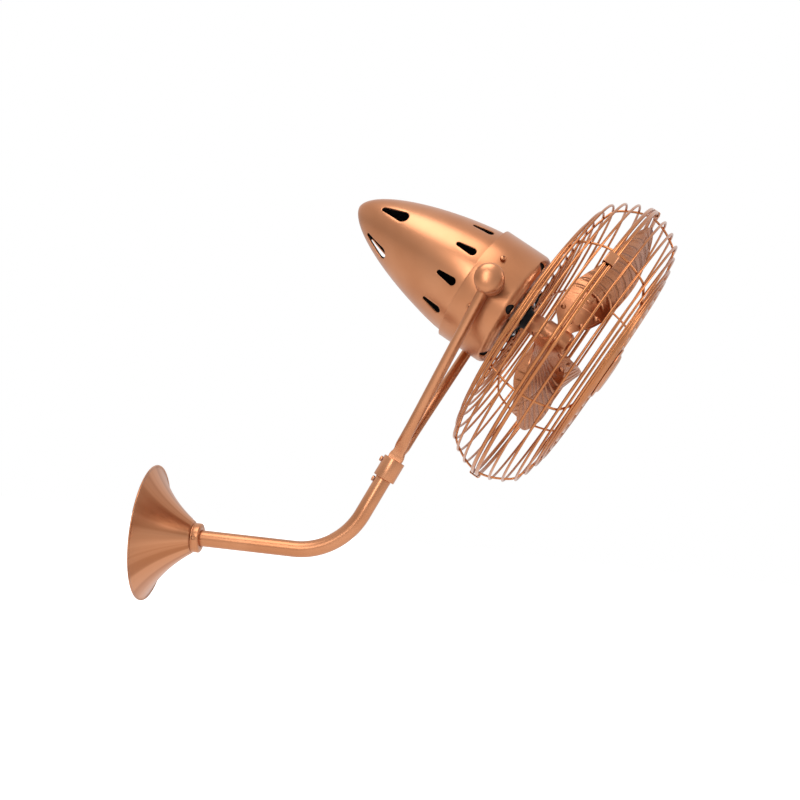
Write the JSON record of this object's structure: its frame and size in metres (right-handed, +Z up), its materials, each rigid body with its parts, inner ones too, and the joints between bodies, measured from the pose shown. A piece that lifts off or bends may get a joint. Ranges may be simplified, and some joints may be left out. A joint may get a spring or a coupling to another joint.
{
  "type": "wall mounted fan",
  "caption": "Wall mounted fan: caged copper-finished head with a conical motor housing, tilting in a fork that swivels on a bent tube arm with a trumpet wall canopy.",
  "frame": {"origin": "middle of the wall plate's back face, where it lies on the wall", "axes": "+X straight out of the wall along the arm, +Z up, +Y to the fan's own left"},
  "size_m": [0.5323, 0.3404, 0.4734],
  "materials": {
    "copper": "satin copper plating on steel, lightly lacquered",
    "zinc_plated_steel": "zinc plated, hidden behind the canopy and inside the sleeve",
    "bright_steel": "bright machined steel",
    "motor_black": "black stove enamel on the motor's castings",
    "nylon": "black nylon friction washers",
    "enamel_wire": "varnished copper winding"
  },
  "bodies": {
    "wall_arm": {"wall_plate": "zinc_plated_steel", "arm_flange": "zinc_plated_steel", "flange_screw_1": "bright_steel", "flange_screw_2": "bright_steel", "flange_screw_3": "bright_steel", "arm_tube": "copper", "swivel_stud": "zinc_plated_steel", "swivel_nut": "zinc_plated_steel", "stop_screw": "copper"},
    "canopy": {"canopy": "copper", "canopy_collar": "copper", "collar_set_screw": "copper"},
    "fork": {"swivel_sleeve": "copper", "sleeve_lock_screw": "copper", "fork_arm_left": "copper", "fork_arm_right": "copper", "pivot_cup_left": "copper", "pivot_cup_right": "copper", "pivot_cap_left": "copper", "pivot_cap_right": "copper"},
    "rotor": {"rotor_core": "bright_steel", "shaft": "bright_steel", "shaft_collar": "copper", "blade_hub": "copper", "hub_set_screw": "bright_steel", "blade_iron_1": "copper", "blade_iron_2": "copper", "blade_iron_3": "copper", "blade_1": "copper", "blade_2": "copper", "blade_3": "copper"},
    "head": {"rear_housing": "copper", "front_housing": "copper", "housing_screw_1": "copper", "housing_screw_2": "copper", "housing_screw_3": "copper", "housing_screw_4": "copper", "rear_guard": "copper", "front_guard": "copper", "guard_cap": "copper", "guard_clip_1": "copper", "guard_clip_2": "copper", "guard_clip_3": "copper", "guard_clip_4": "copper", "pivot_bolt_left": "bright_steel", "pivot_bolt_right": "bright_steel", "stator_core": "bright_steel", "bearing_rear": "bright_steel", "bearing_front": "bright_steel", "guard_mount_screw_1": "bright_steel", "guard_mount_screw_2": "bright_steel", "guard_mount_screw_3": "bright_steel", "guard_mount_screw_4": "bright_steel", "guard_cap_screw": "bright_steel", "motor_rear_bell": "motor_black", "motor_front_bell": "motor_black", "pivot_washer_left": "nylon", "pivot_washer_right": "nylon", "stator_coil_rear": "enamel_wire", "stator_coil_front": "enamel_wire"}
  },
  "joints": [
    {"name": "canopy_slide", "type": "slide", "parent": "wall_arm", "child": "canopy", "axis": [1, 0, 0], "range_m": [0, 0.09]},
    {"name": "head_swivel", "type": "hinge", "parent": "wall_arm", "child": "fork", "pos_m": [0.24896, 0, 0.08465], "axis": [0.4163, 0, 0.9092], "range_deg": [-90, 90]},
    {"name": "head_tilt", "type": "hinge", "parent": "fork", "child": "head", "pos_m": [0.34429, 0, 0.29287], "axis": [0, 1, 0], "range_deg": [-60, 8]},
    {"name": "fan_spin", "type": "hinge", "parent": "head", "child": "rotor", "pos_m": [0.34429, 0, 0.29287], "axis": [0.8755, 0, -0.4833], "continuous": true}
  ]
}
